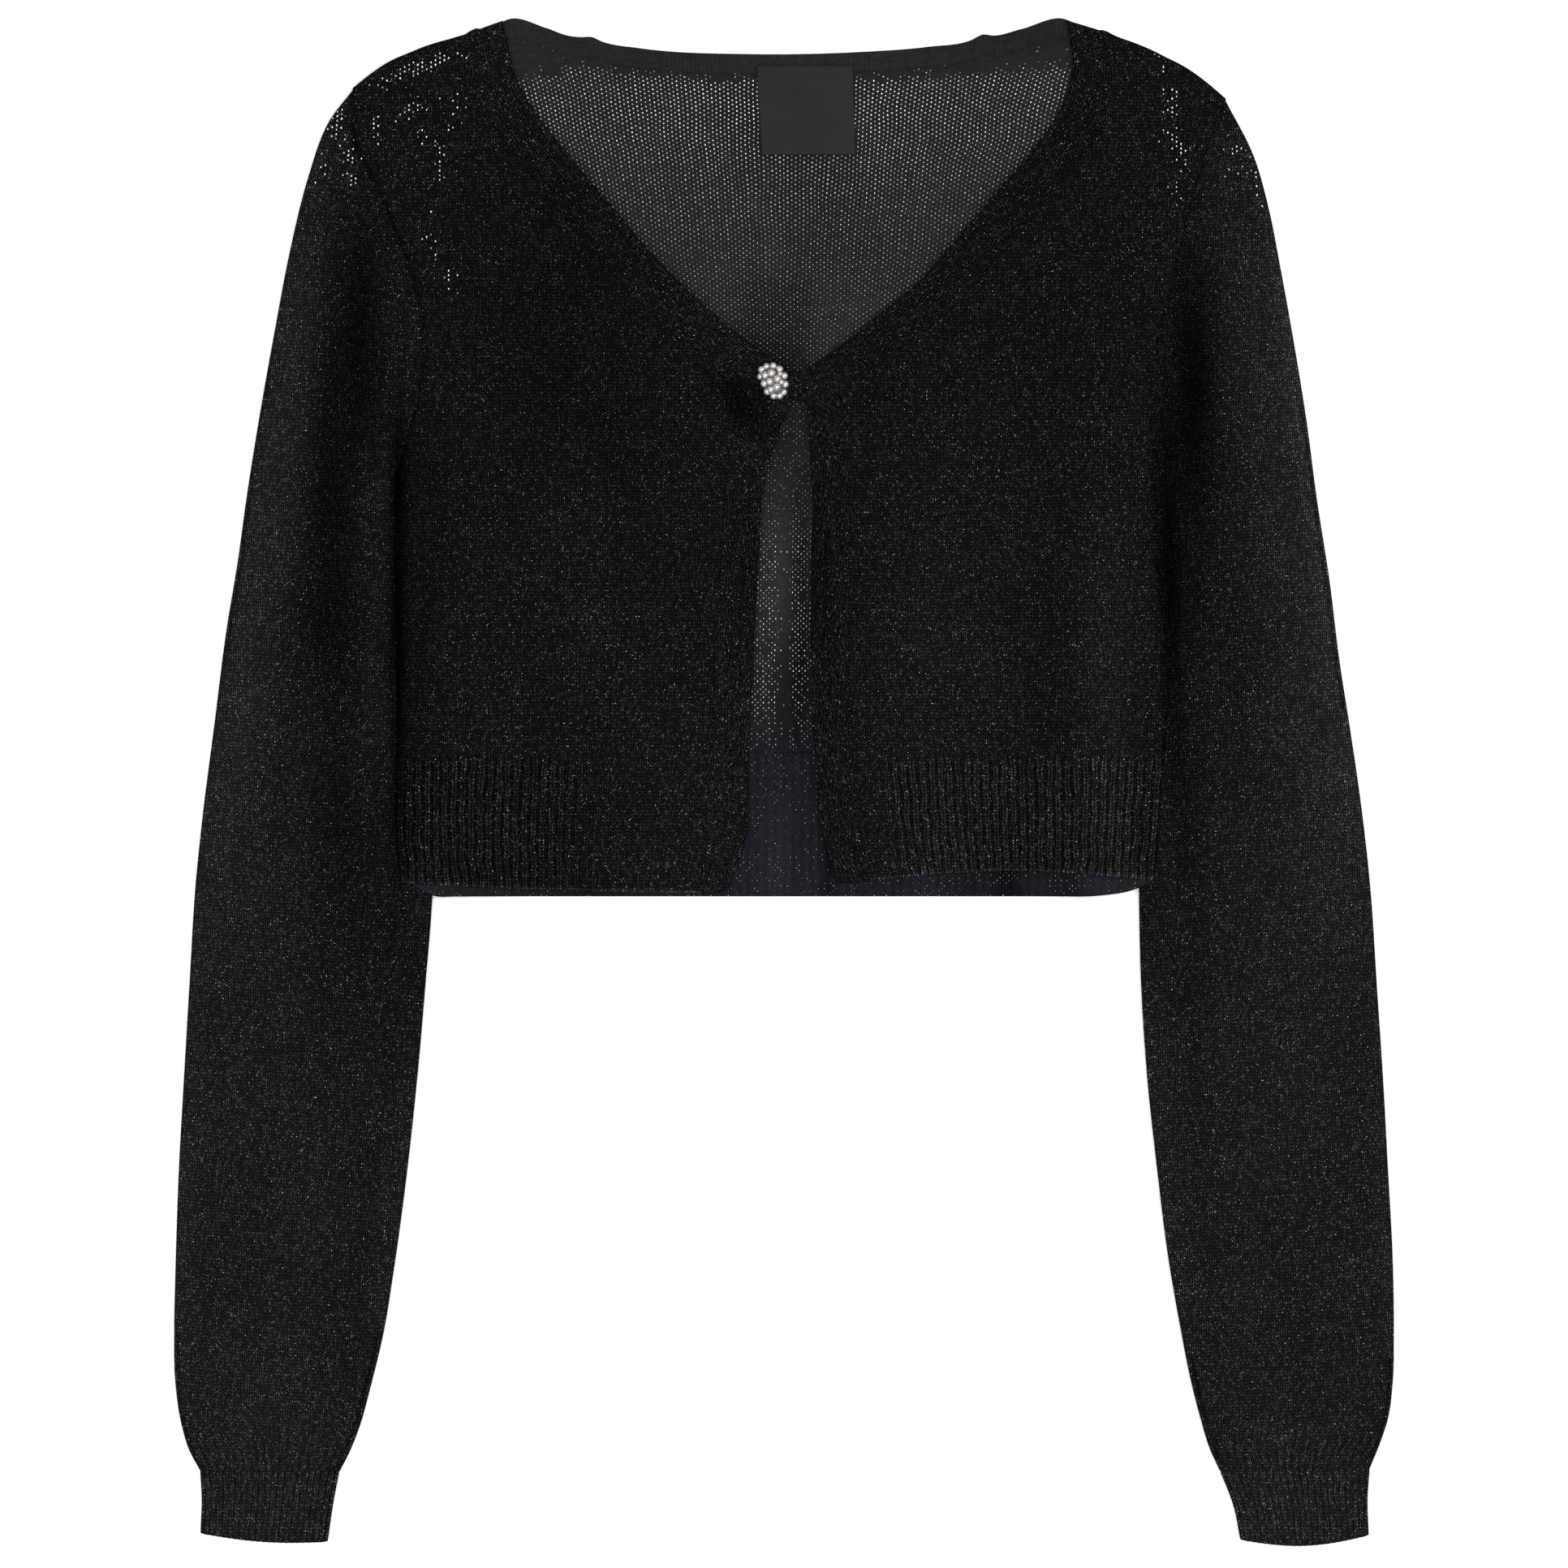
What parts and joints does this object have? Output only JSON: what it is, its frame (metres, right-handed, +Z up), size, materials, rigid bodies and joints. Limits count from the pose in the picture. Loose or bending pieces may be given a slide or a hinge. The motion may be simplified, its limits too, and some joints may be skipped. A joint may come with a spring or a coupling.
{
  "type": "cardigan",
  "caption": "Cropped V-neck cardigan in fine black metallic knit, long full sleeves with ribbed cuffs, ribbed hem, banded front, pearl bead button fastened, laid flat.",
  "frame": {"origin": "on the surface it lies on, below the middle of its outline", "axes": "+X to the wearer's left, +Y from the hem to the neck, +Z up from the back to the fronts"},
  "size_m": [0.512, 0.6408, 0.0153],
  "materials": {
    "black_knit": "fine knit with a metallic yarn",
    "charcoal_knit": "purl side of the same knit",
    "label_satin": "woven satin, bare",
    "pearl": "pearl beads"
  },
  "bodies": {
    "root": {"back_panel": "charcoal_knit", "back_hem_rib": "charcoal_knit", "back_neckband": "charcoal_knit", "front_right_panel": "black_knit", "front_left_panel": "black_knit", "front_right_hem_rib": "black_knit", "front_left_hem_rib": "black_knit", "front_right_band": "black_knit", "front_left_band": "black_knit", "sleeve_right": "black_knit", "sleeve_left": "black_knit", "cuff_right": "black_knit", "cuff_left": "black_knit", "neck_label": "label_satin", "button": "pearl"}
  },
  "joints": []
}
